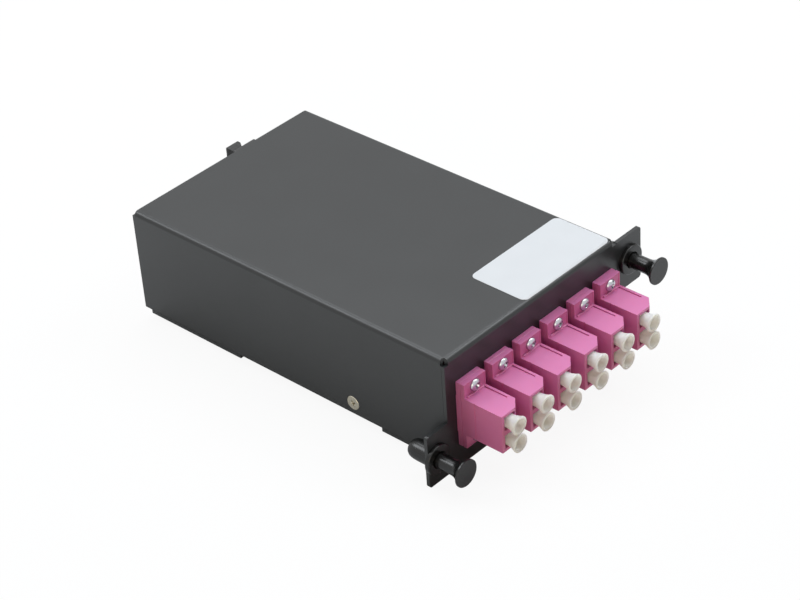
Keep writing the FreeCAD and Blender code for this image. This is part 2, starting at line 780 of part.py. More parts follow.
os.makedirs("parts", exist_ok=True)
for name, solids in nodes.items():
    shape = solids[0].Solids[0] if len(solids) == 1 else Part.makeCompound(
        [solid.Solids[0] for solid in solids])
    shape.exportStep(f"parts/{name}.step")
    print(name, len(shape.Solids), "solids, valid", shape.isValid(), round(shape.Volume, 2))
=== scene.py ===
import math
import bpy
from mathutils import Matrix, Vector


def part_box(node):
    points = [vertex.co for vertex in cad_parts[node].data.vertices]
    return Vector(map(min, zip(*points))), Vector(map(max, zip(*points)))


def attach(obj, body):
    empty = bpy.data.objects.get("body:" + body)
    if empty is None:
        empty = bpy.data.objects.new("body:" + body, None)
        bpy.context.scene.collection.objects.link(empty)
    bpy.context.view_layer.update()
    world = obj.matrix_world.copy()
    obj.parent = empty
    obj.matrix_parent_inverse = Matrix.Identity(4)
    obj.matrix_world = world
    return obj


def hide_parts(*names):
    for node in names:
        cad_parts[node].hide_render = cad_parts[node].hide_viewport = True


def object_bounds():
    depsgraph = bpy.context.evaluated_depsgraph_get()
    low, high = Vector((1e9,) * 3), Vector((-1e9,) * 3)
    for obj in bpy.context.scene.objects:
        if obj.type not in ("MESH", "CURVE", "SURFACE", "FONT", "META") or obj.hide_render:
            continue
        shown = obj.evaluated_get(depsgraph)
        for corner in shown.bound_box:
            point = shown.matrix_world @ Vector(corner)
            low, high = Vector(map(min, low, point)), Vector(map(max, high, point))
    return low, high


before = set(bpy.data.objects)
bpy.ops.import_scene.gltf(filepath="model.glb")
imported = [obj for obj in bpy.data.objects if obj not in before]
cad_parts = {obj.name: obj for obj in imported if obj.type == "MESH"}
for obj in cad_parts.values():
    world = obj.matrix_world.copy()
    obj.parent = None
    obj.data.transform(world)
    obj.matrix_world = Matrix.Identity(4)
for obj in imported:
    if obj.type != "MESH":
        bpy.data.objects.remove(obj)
cad_low, cad_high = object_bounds()

# ---- Base cover
# The lower half of the box: one sheet of 1.2 mm steel folded into floor, side tabs and back
# wall, then powder coated. It keeps the form of its solid, with the sheared edges eased.

mm = 0.001
sheared_edge = 0.14 * mm
edge_segments = 2
touching = 0.001 * mm
flat_within = math.radians(1.0)
crease_angle = math.radians(35.0)


def linear(sheet_colour):
    """An sRGB hex colour as the linear colour that a shader takes."""
    parts = [int(sheet_colour[i:i + 2], 16) / 255 for i in (0, 2, 4)]
    return [c / 12.92 if c <= 0.04045 else ((c + 0.055) / 1.055) ** 2.4 for c in parts] + [1.0]


def add_node(tree, kind, settings=None, links=None):
    """Adds a node, sets its sockets or properties by name, and links sockets into it."""
    node = tree.nodes.new(kind)
    for name, value in (settings or {}).items():
        if name in node.inputs:
            node.inputs[name].default_value = value
        else:
            setattr(node, name, value)
    for name, socket in (links or {}).items():
        tree.links.new(socket, node.inputs[name])
    return node


def new_finish(name):
    """An empty material, ready for its nodes."""
    finish = bpy.data.materials.new(name)
    finish.use_nodes = True
    finish.node_tree.nodes.clear()
    return finish, finish.node_tree


def two_tones(tree, spread, dark, light):
    """A ramp from a dark to a light tone of one colour."""
    ramp = add_node(tree, "ShaderNodeValToRGB", None, {"Fac": spread})
    ramp.color_ramp.elements[0].color = linear(dark)
    ramp.color_ramp.elements[1].color = linear(light)
    return ramp.outputs["Color"]


# Polyester powder coat, baked over steel. The powder flows into a fine, even grit, so the
# sheen is broad and soft. The real grit of 0.2 mm is drawn at 0.5 mm, or it wouldn't show.
coat_grit = 0.5 * mm
coat_cloud = 18.0 * mm
powder_coat, tree = new_finish("polyester_powder_coat_charcoal")
place = add_node(tree, "ShaderNodeTexCoord").outputs["Object"]
grit = add_node(tree, "ShaderNodeTexNoise", {"Scale": 1 / coat_grit, "Detail": 3.0},
                {"Vector": place}).outputs["Fac"]
cloud = add_node(tree, "ShaderNodeTexNoise", {"Scale": 1 / coat_cloud, "Detail": 2.0},
                 {"Vector": place}).outputs["Fac"]
sheen = add_node(tree, "ShaderNodeMapRange", {"To Min": 0.3, "To Max": 0.4},
                 {"Value": cloud}).outputs["Result"]
bumps = add_node(tree, "ShaderNodeBump", {"Strength": 0.22, "Distance": 0.03 * mm},
                 {"Height": grit}).outputs["Normal"]
coat = add_node(tree, "ShaderNodeBsdfPrincipled", {"IOR": 1.5},
                {"Base Color": two_tones(tree, grit, "1c1e1f", "242627"),
                 "Roughness": sheen, "Normal": bumps})
add_node(tree, "ShaderNodeOutputMaterial", None, {"Surface": coat.outputs["BSDF"]})


def deselect():
    bpy.ops.object.select_all(action="DESELECT")


def take(piece):
    """Selects one piece alone and makes it active."""
    deselect()
    piece.select_set(True)
    bpy.context.view_layer.objects.active = piece


def shade_round(piece):
    """Shades what is round on a piece as smooth."""
    take(piece)
    bpy.ops.object.shade_smooth_by_angle(angle=crease_angle)


def shade(piece):
    """Shades what is round as smooth, and keeps each large face flat up to its edge."""
    shade_round(piece)
    weigh = piece.modifiers.new("weighed", "WEIGHTED_NORMAL")
    weigh.weight = 100
    weigh.keep_sharp = True
    bpy.ops.object.modifier_apply(modifier=weigh.name)


def welded_copy(node, name):
    """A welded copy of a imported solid, with its flat faces whole."""
    piece = bpy.data.objects.new(name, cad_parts[node].data.copy())
    bpy.context.scene.collection.objects.link(piece)
    piece.data.materials.clear()
    take(piece)
    bpy.ops.object.mode_set(mode="EDIT")
    bpy.ops.mesh.select_all(action="SELECT")
    bpy.ops.mesh.customdata_custom_splitnormals_clear()
    bpy.ops.mesh.remove_doubles(threshold=touching)
    bpy.ops.mesh.dissolve_limited(angle_limit=flat_within)
    bpy.ops.object.mode_set(mode="OBJECT")
    return piece


def eased_copy(node, name, width):
    """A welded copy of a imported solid, with its hard edges rounded by a bevel."""
    piece = welded_copy(node, name)
    take(piece)
    bevel = piece.modifiers.new("eased", "BEVEL")
    bevel.width = width
    bevel.segments = edge_segments
    bevel.limit_method = "ANGLE"
    bevel.angle_limit = crease_angle
    bevel.use_clamp_overlap = True
    bpy.ops.object.modifier_apply(modifier=bevel.name)
    shade(piece)
    return piece


def fit(piece, finish, slot, body, *nodes):
    """Gives a piece its finish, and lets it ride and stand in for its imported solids."""
    piece.data.materials.clear()
    piece.data.materials.append(finish)
    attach(piece, body)
    if nodes:
        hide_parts(*nodes)


base = eased_copy("base_cover", "base_cover_sheet", sheared_edge)
fit(base, powder_coat, "powder_coat", "cassette", "base_cover")

# ---- MPO adapter in the back wall
# A one-piece adapter moulded in black polycarbonate, pushed in from behind and screwed by its
# flange. The mould leaves small radii on every edge.

mpo_mould_edge = 0.18 * mm
moulded_grain = 0.35 * mm
# Polycarbonate moulded against a finely etched tool: a deep black with an even satin sheen.
black_polycarbonate, tree = new_finish("moulded_polycarbonate_black")
place = add_node(tree, "ShaderNodeTexCoord").outputs["Object"]
grain = add_node(tree, "ShaderNodeTexNoise", {"Scale": 1 / moulded_grain, "Detail": 2.0},
                 {"Vector": place}).outputs["Fac"]
bumps = add_node(tree, "ShaderNodeBump", {"Strength": 0.15, "Distance": 0.01 * mm},
                 {"Height": grain}).outputs["Normal"]
resin = add_node(tree, "ShaderNodeBsdfPrincipled", {"IOR": 1.58, "Roughness": 0.38},
                 {"Base Color": two_tones(tree, grain, "141415", "1b1b1c"), "Normal": bumps})
add_node(tree, "ShaderNodeOutputMaterial", None, {"Surface": resin.outputs["BSDF"]})
mpo = eased_copy("mpo_adapter", "mpo_adapter_body", mpo_mould_edge)
fit(mpo, black_polycarbonate, "mpo_black", "cassette", "mpo_adapter")

# ---- Screws of the MPO adapter
# Two black zinc-plated pan-head screws with a cross recess. A die heads them, so the crown is
# a low dome that turns down at the rim, and a punch leaves the tapered cross.

screw_facets = 40
screw_head_height = 1.2 * mm
screw_shank = 5.0 * mm
screw_shank_radius = 0.95 * mm
crown_steps = 7
crown_rim_share = 0.3
crown_flat_share = 0.12
cross_half_width = 0.29 * mm
cross_mouth = 1.3 * mm
cross_floor = 0.45 * mm
cross_depth = 0.75 * mm
mpo_screw_turns = (10, 55)
black_zinc_bloom = 0.8 * mm


def turned_piece(name, x, z, outline, facets):
    """A piece turned about a line along Y: rings are drawn out and resized along an outline of
    (radius, y) points. An open outline gets flat ends, and a closed one joins up."""
    radius, y = outline[0]
    deselect()
    bpy.ops.mesh.primitive_circle_add(vertices=facets, radius=radius, location=(x, y, z),
                                      rotation=(math.pi / 2, 0, 0))
    piece = bpy.context.object
    piece.name = name
    bpy.ops.object.transform_apply(location=True, rotation=True, scale=True)
    bpy.ops.object.mode_set(mode="EDIT")
    bpy.ops.mesh.select_all(action="SELECT")
    for next_radius, next_y in outline[1:]:
        bpy.ops.mesh.extrude_region_move(
            TRANSFORM_OT_translate={"value": (0, next_y - y, 0)})
        grow = next_radius / radius
        bpy.ops.transform.resize(value=(grow, 1, grow), center_override=(x, next_y, z))
        radius, y = next_radius, next_y
    bpy.ops.mesh.select_all(action="SELECT")
    bpy.ops.mesh.remove_doubles(threshold=2 * touching)
    bpy.ops.mesh.fill_holes(sides=0)
    bpy.ops.mesh.select_all(action="SELECT")
    bpy.ops.mesh.normals_make_consistent(inside=False)
    bpy.ops.object.mode_set(mode="OBJECT")
    shade_round(piece)
    return piece


def block(place, size):
    """A plain block with its middle at a place."""
    deselect()
    bpy.ops.mesh.primitive_cube_add(size=1, location=place)
    piece = bpy.context.object
    piece.scale = size
    bpy.ops.object.transform_apply(location=True, rotation=True, scale=True)
    return piece


def combine(piece, other, operation):
    """Cuts a second form out of a piece or fuses it on. The second one is then thrown away."""
    take(piece)
    both = piece.modifiers.new("combined", "BOOLEAN")
    both.operation = operation
    both.solver = "EXACT"
    both.object = other
    bpy.ops.object.modifier_apply(modifier=both.name)
    bpy.data.objects.remove(other)


def punch(centre, outward, driven_to):
    """The tapered cross of a screwdriver's tip, to cut a recess. It is wide at the mouth and
    narrow at the floor, points against the direction that the screw head faces, and is turned
    to where the screw was driven, in degrees."""
    blades = []
    for turn in (0, math.pi / 2):
        blade = block((0, 0, 0), (2 * cross_mouth, 2 * cross_half_width, 2 * cross_depth))
        for corner in blade.data.vertices:
            if corner.co.z < 0:
                corner.co.x *= cross_floor / cross_mouth
        blade.data.transform(Matrix.Rotation(turn + math.radians(driven_to), 4, "Z"))
        blades.append(blade)
    combine(blades[0], blades[1], "UNION")
    facing = outward.to_track_quat("Z", "Y").to_matrix().to_4x4()
    blades[0].data.transform(Matrix.Translation(centre) @ facing)
    return blades[0]


def pan_head_screw(name, x, z, seat, facing, head_radius, driven_to):
    """A pan-head screw along Y whose crown is an elliptic dome over a short straight rim."""
    rim = crown_rim_share * screw_head_height
    dome = [(head_radius * math.cos(step * math.pi / 2 / crown_steps),
             seat + facing * (rim + (screw_head_height - rim)
                              * math.sin(step * math.pi / 2 / crown_steps)))
            for step in range(crown_steps)]
    top = seat + facing * screw_head_height
    outline = ([(screw_shank_radius, seat - facing * screw_shank), (screw_shank_radius, seat),
                (head_radius, seat)]
               + dome + [(crown_flat_share * head_radius, top)])
    screw = turned_piece(name, x, z, outline, screw_facets)
    combine(screw, punch(Vector((x, top, z)), Vector((0, facing, 0)), driven_to), "DIFFERENCE")
    shade_round(screw)
    return screw


def join_pieces(pieces, name):
    """Joins like pieces into one."""
    deselect()
    for piece in pieces:
        piece.select_set(True)
    bpy.context.view_layer.objects.active = pieces[0]
    bpy.ops.object.join()
    pieces[0].name = name
    return pieces[0]


# Black zinc plate is a thin passivated skin over steel: dark, with a clear metallic glint.
black_zinc, tree = new_finish("black_zinc_plate")
place = add_node(tree, "ShaderNodeTexCoord").outputs["Object"]
film = add_node(tree, "ShaderNodeTexNoise", {"Scale": 1 / black_zinc_bloom},
                {"Vector": place})
plate = add_node(tree, "ShaderNodeBsdfPrincipled", {"Metallic": 0.8, "Roughness": 0.3},
                 {"Base Color": two_tones(tree, film.outputs["Fac"], "202020", "2c2b2a")})
add_node(tree, "ShaderNodeOutputMaterial", None, {"Surface": plate.outputs["BSDF"]})

low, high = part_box("mpo_adapter_screws")
head_radius = (high.x - low.x) / 2
middle = (low.x + high.x) / 2
seat = high.y - screw_head_height
mpo_screws = [pan_head_screw("mpo_screw", middle, z, seat, 1, head_radius, driven_to)
              for z, driven_to in zip((low.z + head_radius, high.z - head_radius),
                                      mpo_screw_turns)]
fit(join_pieces(mpo_screws, "mpo_adapter_pan_screws"), black_zinc, "screw_black", "cassette",
    "mpo_adapter_screws")

# ---- MPO dust cap
# A black rubber cap pushed into the adapter's mouth, with a flared rim to pull it out by.

cap_mould_edge = 0.25 * mm
# Rubber moulded in a blasted tool: a matt black that hardly shines, even on its edges.
black_rubber, tree = new_finish("moulded_rubber_black")
place = add_node(tree, "ShaderNodeTexCoord").outputs["Object"]
grain = add_node(tree, "ShaderNodeTexNoise", {"Scale": 1 / moulded_grain, "Detail": 3.0},
                 {"Vector": place}).outputs["Fac"]
bumps = add_node(tree, "ShaderNodeBump", {"Strength": 0.25, "Distance": 0.015 * mm},
                 {"Height": grain}).outputs["Normal"]
rubber = add_node(tree, "ShaderNodeBsdfPrincipled", {"IOR": 1.52, "Roughness": 0.6},
                  {"Base Color": two_tones(tree, grain, "161616", "1e1e1d"), "Normal": bumps})
add_node(tree, "ShaderNodeOutputMaterial", None, {"Surface": rubber.outputs["BSDF"]})
mpo_cap = eased_copy("mpo_dust_cap", "mpo_rubber_cap", cap_mould_edge)
fit(mpo_cap, black_rubber, "mpo_cap_rubber", "mpo_cap", "mpo_dust_cap")

# ---- LC duplex adapters
# Twelve satin polycarbonate halves in heather violet, welded in pairs and clamped to the panel
# by their flanges. Their long edges are rounded, the weld leaves a groove round the seam, and
# a thin bead runs along the foot of each tab.

adapters = 6
lc_seam_edge = 0.2 * mm
lc_seam_reach = 1.1 * lc_seam_edge
lc_long_edge = 3.0 * mm
lc_long_round = 0.2 * mm
lc_bead_radius = 0.4 * mm
lc_bead_inset = 1.15 * mm
lc_bead_out = 0.1 * mm
lc_bead_facets = 16
lc_flange_half = 1.6 * mm
lc_body_half = 6.45 * mm
dye_cloud = 6.0 * mm
# Satin polycarbonate, dyed heather violet. A little light enters it, so its shade stays pink.
heather_polycarbonate, tree = new_finish("moulded_polycarbonate_heather_violet")
place = add_node(tree, "ShaderNodeTexCoord").outputs["Object"]
grain = add_node(tree, "ShaderNodeTexNoise", {"Scale": 1 / moulded_grain, "Detail": 2.0},
                 {"Vector": place}).outputs["Fac"]
cloud = add_node(tree, "ShaderNodeTexNoise", {"Scale": 1 / dye_cloud},
                 {"Vector": place}).outputs["Fac"]
bumps = add_node(tree, "ShaderNodeBump", {"Strength": 0.12, "Distance": 0.01 * mm},
                 {"Height": grain}).outputs["Normal"]
sheen = add_node(tree, "ShaderNodeMapRange", {"To Min": 0.38, "To Max": 0.48},
                 {"Value": cloud}).outputs["Result"]
resin = add_node(tree, "ShaderNodeBsdfPrincipled",
                 {"IOR": 1.5, "Subsurface Weight": 0.15, "Subsurface Scale": 0.6 * mm},
                 {"Base Color": two_tones(tree, cloud, "d675aa", "dc7eb1"),
                  "Roughness": sheen, "Normal": bumps})
add_node(tree, "ShaderNodeOutputMaterial", None, {"Surface": resin.outputs["BSDF"]})


def bevel_edges(piece, width, segments, is_chosen, among_sharp=False):
    """Bevels the edges of a piece that a test on their two ends chooses, out of all of its
    edges or only out of the sharp ones."""
    take(piece)
    bpy.ops.object.mode_set(mode="EDIT")
    bpy.ops.mesh.select_mode(type="EDGE")
    bpy.ops.mesh.select_all(action="DESELECT")
    if among_sharp:
        bpy.ops.mesh.edges_select_sharp(sharpness=crease_angle)
    bpy.ops.object.mode_set(mode="OBJECT")
    for edge in piece.data.edges:
        start, end = [piece.data.vertices[v].co for v in edge.vertices]
        edge.select = is_chosen(start, end) and (edge.select or not among_sharp)
    bpy.ops.object.mode_set(mode="EDIT")
    bpy.ops.mesh.bevel(offset=width, segments=segments, affect="EDGES", clamp_overlap=True)
    bpy.ops.object.mode_set(mode="OBJECT")


def ease_seam(half, seam):
    """Cuts back the outer edges of an adapter half in the plane of its seam, across Y."""
    low, high = Vector(half.bound_box[0]), Vector(half.bound_box[6])

    def on_rim(start, end):
        in_plane = abs(start.y - seam) < touching and abs(end.y - seam) < touching
        return in_plane and any(
            abs(start[axis] - limit[axis]) < touching and abs(end[axis] - limit[axis]) < touching
            for axis in (0, 2) for limit in (low, high))

    bevel_edges(half, lc_seam_edge, 1, on_rim)


def ease_long_edges(half, seam):
    """Rounds the long sharp edges of an adapter half, all but those beside its seam."""

    def away_from_seam(start, end):
        beside_seam = max(abs(start.y - seam), abs(end.y - seam)) < lc_seam_reach
        return (end - start).length > lc_long_edge and not beside_seam

    bevel_edges(half, lc_long_round, edge_segments, away_from_seam, among_sharp=True)


def weld_bead(x0, x1, y, z):
    """A thin round bead along X."""
    deselect()
    bpy.ops.mesh.primitive_cylinder_add(vertices=lc_bead_facets, radius=lc_bead_radius,
                                        depth=x1 - x0, location=((x0 + x1) / 2, y, z),
                                        rotation=(0, math.pi / 2, 0))
    bpy.ops.object.transform_apply(location=True, rotation=True, scale=True)
    return bpy.context.object


for name in [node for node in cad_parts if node.startswith("lc_adapter")]:
    half = welded_copy(name, name.replace("adapter", "half"))
    low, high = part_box(name)
    is_front = "front" in name
    seam = high.y if is_front else low.y
    ease_seam(half, seam)
    ease_long_edges(half, seam)
    shade(half)
    if is_front:
        flange_face = high.y - lc_flange_half
        middle = (low.z + high.z) / 2
        for skin in (middle - lc_body_half, middle + lc_body_half):
            bead = weld_bead(low.x + lc_bead_inset, high.x - lc_bead_inset,
                             flange_face - lc_bead_out, skin)
            combine(half, bead, "UNION")
        shade(half)
    fit(half, heather_polycarbonate, "adapter_violet", "cassette", name)

# ---- Top cover
# The upper half of the box: top, side walls, front panel and ears from one folded sheet, in
# the same charcoal powder coat. The bends are round, and the corners have relief cuts.

cover = eased_copy("top_cover", "top_cover_sheet", sheared_edge)
fit(cover, powder_coat, "powder_coat", "cassette", "top_cover")

# ---- Adapter screws
# Twelve bright zinc-plated pan-head screws, the same form as those of the MPO adapter, two to
# each adapter flange. Each was driven home to its own turn.

first_turn = 25
turn_between = 37
bright_zinc_bloom = 0.7 * mm
# Zinc from a brightening bath: a cool silver, clear enough to mirror in patches.
bright_zinc, tree = new_finish("bright_zinc_plate")
place = add_node(tree, "ShaderNodeTexCoord").outputs["Object"]
film = add_node(tree, "ShaderNodeTexNoise", {"Scale": 1 / bright_zinc_bloom, "Detail": 3.0},
                {"Vector": place}).outputs["Fac"]
sheen = add_node(tree, "ShaderNodeMapRange", {"To Min": 0.16, "To Max": 0.3},
                 {"Value": film}).outputs["Result"]
plate = add_node(tree, "ShaderNodeBsdfPrincipled", {"Metallic": 1.0},
                 {"Base Color": two_tones(tree, film, "b2b4b8", "d0d2d6"), "Roughness": sheen})
add_node(tree, "ShaderNodeOutputMaterial", None, {"Surface": plate.outputs["BSDF"]})

low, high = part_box("adapter_screws")
seat = low.y + screw_head_height
rows = (low.z + head_radius, high.z - head_radius)
adapter_screws = []
for number in range(1, adapters + 1):
    low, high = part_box(f"lc_adapter_front_{number}")
    for z in rows:
        driven_to = first_turn + turn_between * len(adapter_screws)
        adapter_screws.append(pan_head_screw("adapter_screw", (low.x + high.x) / 2, z, seat, -1,
                                             head_radius, driven_to))
fit(join_pieces(adapter_screws, "adapter_pan_screws"), bright_zinc, "screw_zinc", "cassette",
    "adapter_screws")

# ---- Side screws
# Two nickel-plated countersunk screws that hold the top cover to the tabs of the base cover.
# The head is flat, with a cross recess.

sink_depth = 1.0 * mm
sink_shank_radius = 1.45 * mm
sink_length = 5.0 * mm
sink_rim = 0.12 * mm
sink_turn = 20
nickel_bloom = 0.6 * mm
# Dull nickel over steel: a faintly warm metal whose glint is a little blurred.
nickel, tree = new_finish("nickel_plate_warm")
place = add_node(tree, "ShaderNodeTexCoord").outputs["Object"]
film = add_node(tree, "ShaderNodeTexNoise", {"Scale": 1 / nickel_bloom, "Detail": 3.0},
                {"Vector": place}).outputs["Fac"]
sheen = add_node(tree, "ShaderNodeMapRange", {"To Min": 0.25, "To Max": 0.4},
                 {"Value": film}).outputs["Result"]
plate = add_node(tree, "ShaderNodeBsdfPrincipled", {"Metallic": 1.0},
                 {"Base Color": two_tones(tree, film, "b5ae9c", "cfc8b6"), "Roughness": sheen})
add_node(tree, "ShaderNodeOutputMaterial", None, {"Surface": plate.outputs["BSDF"]})

low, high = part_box("cover_screws")
sink_radius = (high.z - low.z) / 2
sink_y, sink_z = (low.y + high.y) / 2, (low.z + high.z) / 2
side_screws = []
for side, face in ((-1, low.x), (1, high.x)):
    outline = [(sink_shank_radius, -sink_length), (sink_shank_radius, -sink_depth),
               (sink_radius, -sink_rim), (sink_radius - sink_rim, 0)]
    screw = turned_piece("side_screw", 0, 0, outline, screw_facets)
    head_middle = Vector((face, sink_y, sink_z))
    screw.data.transform(Matrix.Translation(head_middle)
                         @ Matrix.Rotation(-side * math.pi / 2, 4, "Z"))
    combine(screw, punch(head_middle, Vector((side, 0, 0)), sink_turn), "DIFFERENCE")
    shade_round(screw)
    side_screws.append(screw)
fit(join_pieces(side_screws, "side_countersunk_screws"), nickel, "screw_nickel", "cassette",
    "cover_screws")

# ---- Latches
# Push-pull latches in black nylon, one in each ear: a grommet with a flange and a split barrel,
# and a plunger whose knob opens like a trumpet. Both come smooth from the mould.

latch_facets = 64
round_steps = 4
nose_steps = 8
flare_steps = 12
flange_edge = 0.35 * mm
flange_thickness = 1.3 * mm
seat_radius = 3.4 * mm
sheet = 1.2 * mm
barrel_radius = 3.2 * mm
barrel_length = 4.0 * mm
barrel_slot = 0.6 * mm
barrel_slot_angle = math.radians(-45.0)
tip_radius = 2.5 * mm
tip_round = 0.4 * mm
bore_radius = 2.55 * mm
pin_bore_radius = 1.85 * mm
bore_edge = 0.2 * mm
stem_radius = 2.4 * mm
stem_stop = 0.3 * mm
pin_radius = 1.7 * mm
pin_point = 1.5 * mm
pin_point_radius = 0.8 * mm
knob_rim = 0.55 * mm
knob_edge = 0.12 * mm
flare_length = 4.2 * mm
flare_curve = 2.4
nylon_grain = 0.4 * mm
# Moulded nylon with a smooth mould face: near black, with a sheen sharper than powder coat.
black_nylon, tree = new_finish("moulded_nylon_black")
place = add_node(tree, "ShaderNodeTexCoord").outputs["Object"]
grain = add_node(tree, "ShaderNodeTexNoise", {"Scale": 1 / nylon_grain, "Detail": 2.0},
                 {"Vector": place}).outputs["Fac"]
bumps = add_node(tree, "ShaderNodeBump", {"Strength": 0.12, "Distance": 0.01 * mm},
                 {"Height": grain}).outputs["Normal"]
sheen = add_node(tree, "ShaderNodeMapRange", {"To Min": 0.2, "To Max": 0.3},
                 {"Value": grain}).outputs["Result"]
resin = add_node(tree, "ShaderNodeBsdfPrincipled", {"IOR": 1.53, "Specular IOR Level": 0.4},
                 {"Base Color": two_tones(tree, grain, "0e0e0e", "141413"),
                  "Roughness": sheen, "Normal": bumps})
add_node(tree, "ShaderNodeOutputMaterial", None, {"Surface": resin.outputs["BSDF"]})


def arc(centre_radius, centre_y, radius, start, end, steps):
    """Points (radius, y) on an arc, with its angles in degrees from the direction outwards."""
    return [(centre_radius + radius * math.cos(math.radians(start + (end - start) * s / steps)),
             centre_y + radius * math.sin(math.radians(start + (end - start) * s / steps)))
            for s in range(steps + 1)]


for side in ("left", "right"):
    low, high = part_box(f"{side}_latch_grommet")
    x, z = (low.x + high.x) / 2, (low.z + high.z) / 2
    flange_radius = (high.x - low.x) / 2
    flange_front = low.y
    ear_front = flange_front + flange_thickness
    ear_back = ear_front + sheet
    barrel_end = ear_back + barrel_length
    tip = high.y
    nose = [(tip_radius + (barrel_radius - tip_radius) * math.sqrt(1 - (s / nose_steps) ** 2),
             barrel_end + (tip - tip_round - barrel_end) * s / nose_steps)
            for s in range(nose_steps)]
    outline = ([(bore_radius, flange_front + bore_edge), (bore_radius + bore_edge, flange_front)]
               + arc(flange_radius - flange_edge, flange_front + flange_edge, flange_edge,
                     -90, 0, round_steps)
               + [(flange_radius, ear_front), (seat_radius, ear_front), (seat_radius, ear_back),
                  (barrel_radius, ear_back)]
               + nose + arc(tip_radius - tip_round, tip - tip_round, tip_round, 0, 90,
                            round_steps)
               + [(pin_bore_radius, tip), (pin_bore_radius, barrel_end),
                  (bore_radius, barrel_end), (bore_radius, flange_front + bore_edge)])
    grommet = turned_piece(f"{side}_grommet", x, z, outline, latch_facets)
    slot = block((0, 0, 0), (4 * seat_radius, 2 * (tip - ear_back - barrel_slot), barrel_slot))
    slot.data.transform(Matrix.Translation((x, tip, z))
                        @ Matrix.Rotation(barrel_slot_angle, 4, "Y"))
    combine(grommet, slot, "DIFFERENCE")
    shade_round(grommet)
    fit(grommet, black_nylon, "latch_nylon", "cassette", f"{side}_latch_grommet")

    low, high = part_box(f"{side}_latch_plunger")
    knob_radius = (high.x - low.x) / 2
    face, rim_back = low.y, low.y + knob_rim
    stem_end = ear_back - stem_stop
    trumpet = [(stem_radius + (knob_radius - stem_radius) * (1 - s / flare_steps) ** flare_curve,
                rim_back + flare_length * s / flare_steps) for s in range(flare_steps + 1)]
    outline = ([(knob_radius - knob_edge, face), (knob_radius, face + knob_edge)] + trumpet
               + [(stem_radius, stem_end), (pin_radius, stem_end),
                  (pin_radius, high.y - pin_point), (pin_point_radius, high.y)])
    plunger = turned_piece(f"{side}_plunger_knob", x, z, outline, latch_facets)
    fit(plunger, black_nylon, "latch_nylon", f"{side}_plunger", f"{side}_latch_plunger")

# ---- LC dust caps
# Twelve soft polyethylene caps, one in each port: a stem, a waist that opens like a trumpet,
# and a dished rim. The milky plastic lets a little light through.

cap_facets = 56
cap_rim_edge = 0.14 * mm
cap_rim_steps = 3
cap_rim_wall = 0.75 * mm
cap_waist_radius = 2.14 * mm
cap_flare_curve = 1.9
cap_flare_steps = 10
cap_dish_bottom = 3.0 * mm
cap_dish_neck = 1.5 * mm
cap_dish_curve = 1.5
cap_dish_steps = 6
cap_dish_centre = 0.1 * mm
milk_cloud = 4.0 * mm
# Soft polyethylene, milky right through: light enters at the rim and comes out inside the
# dish, so the shade there is pale and faintly warm.
milky_polyethylene, tree = new_finish("moulded_polyethylene_milky_white")
place = add_node(tree, "ShaderNodeTexCoord").outputs["Object"]
cloud = add_node(tree, "ShaderNodeTexNoise", {"Scale": 1 / milk_cloud},
                 {"Vector": place}).outputs["Fac"]
sheen = add_node(tree, "ShaderNodeMapRange", {"To Min": 0.3, "To Max": 0.42},
                 {"Value": cloud}).outputs["Result"]
resin = add_node(tree, "ShaderNodeBsdfPrincipled",
                 {"IOR": 1.5, "Subsurface Weight": 1.0, "Subsurface Scale": 4.0 * mm,
                  "Subsurface Radius": (1.0, 0.98, 0.86)},
                 {"Base Color": two_tones(tree, cloud, "eff5e8", "f5faee"),
                  "Roughness": sheen})
add_node(tree, "ShaderNodeOutputMaterial", None, {"Surface": resin.outputs["BSDF"]})

for number in range(1, adapters + 1):
    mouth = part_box(f"lc_adapter_front_{number}")[0].y
    for port in ("upper", "lower"):
        low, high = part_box(f"lc_dust_cap_{number}_{port}")
        x, z = (low.x + high.x) / 2, (low.z + high.z) / 2
        rim_radius = (high.x - low.x) / 2
        reach = mouth - low.y
        flare = [(cap_waist_radius + (rim_radius - cap_waist_radius)
                  * (1 - s / cap_flare_steps) ** cap_flare_curve,
                  low.y + 2 * cap_rim_edge + (reach - 2 * cap_rim_edge) * s / cap_flare_steps)
                 for s in range(cap_flare_steps + 1)]
        dish = [(cap_dish_neck + (rim_radius - cap_rim_wall - cap_dish_neck)
                 * (1 - s / cap_dish_steps) ** cap_dish_curve,
                 low.y + cap_dish_bottom * s / cap_dish_steps)
                for s in range(cap_dish_steps, -1, -1)]
        outline = ([(cap_dish_centre, low.y + cap_dish_bottom)] + dish
                   + arc(rim_radius - cap_rim_edge, low.y + cap_rim_edge, cap_rim_edge,
                         -90, 0, cap_rim_steps)
                   + flare + [(cap_waist_radius, high.y)])
        cap = turned_piece(f"dust_cap_{number}_{port}", x, z, outline, cap_facets)
        fit(cap, milky_polyethylene, "cap_white", f"dust_cap_{number}_{port}",
            f"lc_dust_cap_{number}_{port}")

# ---- Sticker
# A blank white film sticker with rounded corners, pressed on the top by hand, a little off
# its place. It follows the box over the start of the bends, and its front edge lifts a little.

low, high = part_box("label")
film_thickness = 0.1 * mm
film_corner = 2.0 * mm
film_corner_segments = 8
film_strips = 32
film_lift = 0.05 * mm
film_lift_reach = 3.0 * mm
film_lift_folds = (0.25, 0.5, 1.0)
film_wave = 13.0 * mm
film_cloud = 9.0 * mm
film_shift = Vector((0.35, -0.95, 0.0)) * mm
bend_outside = 1.7 * mm
